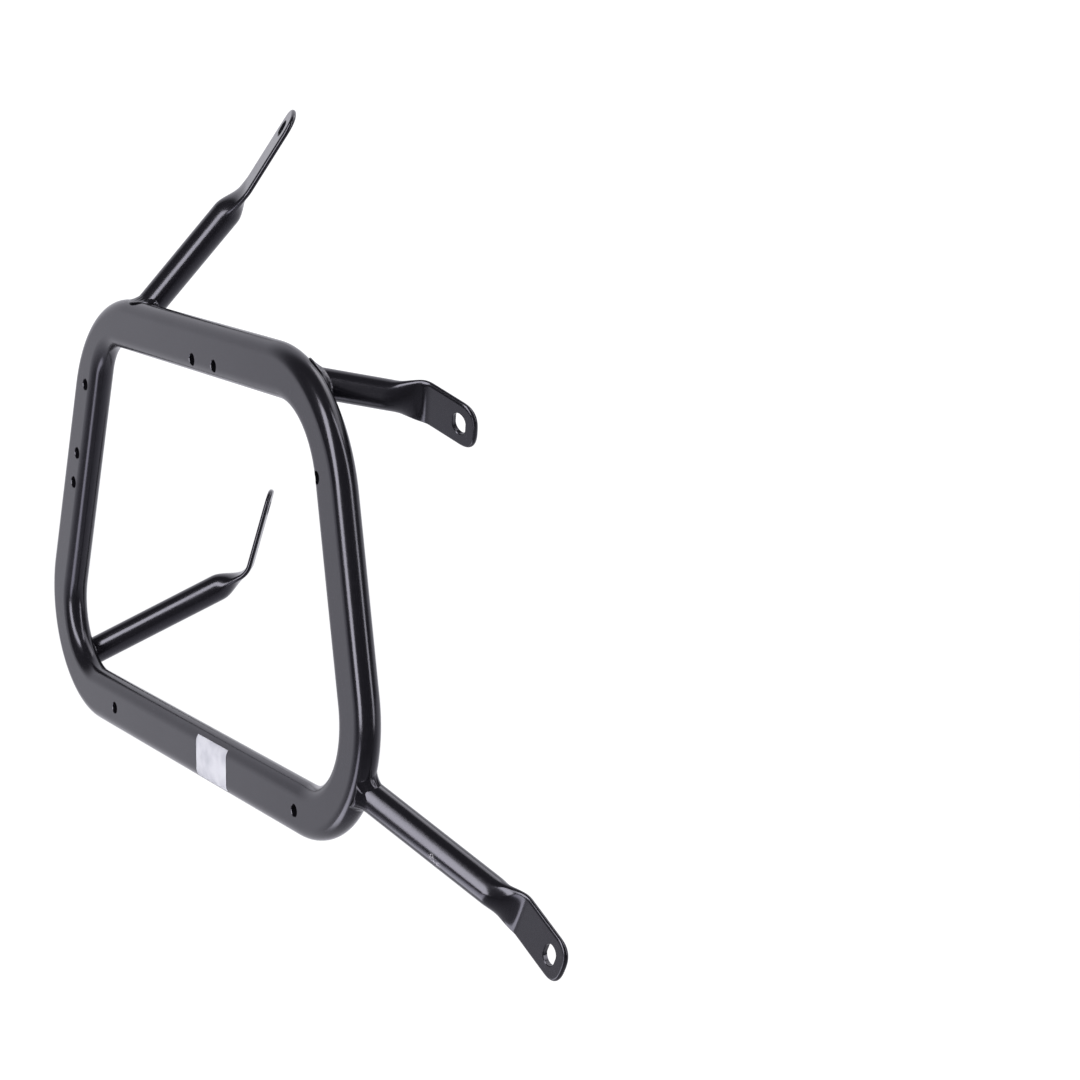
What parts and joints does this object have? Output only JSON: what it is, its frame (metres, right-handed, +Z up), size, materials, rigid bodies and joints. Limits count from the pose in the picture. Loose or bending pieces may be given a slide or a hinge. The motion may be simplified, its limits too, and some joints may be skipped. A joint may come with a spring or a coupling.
{
  "type": "pannier frame",
  "caption": "Closed trapezoid loop of flat-oval steel tube with drilled case holes, carried by four round-tube arms with flattened, slotted ends.",
  "frame": {"origin": "centre of the slot in the lower front tab, at the middle of its thickness", "axes": "+X from rear to front along the lower bar, +Y square to the loop and towards the motorcycle, +Z up"},
  "size_m": [0.5303, 0.1266, 0.4117],
  "materials": {
    "loop_paint": "gloss black powder coat",
    "arm_paint": "gloss black powder coat",
    "sticker": "blank pale film, satin"
  },
  "bodies": {
    "root": {"loop_tube": "loop_paint", "upper_rear_arm": "arm_paint", "upper_front_arm": "arm_paint", "lower_rear_arm": "arm_paint", "lower_front_arm": "arm_paint"}
  },
  "joints": []
}
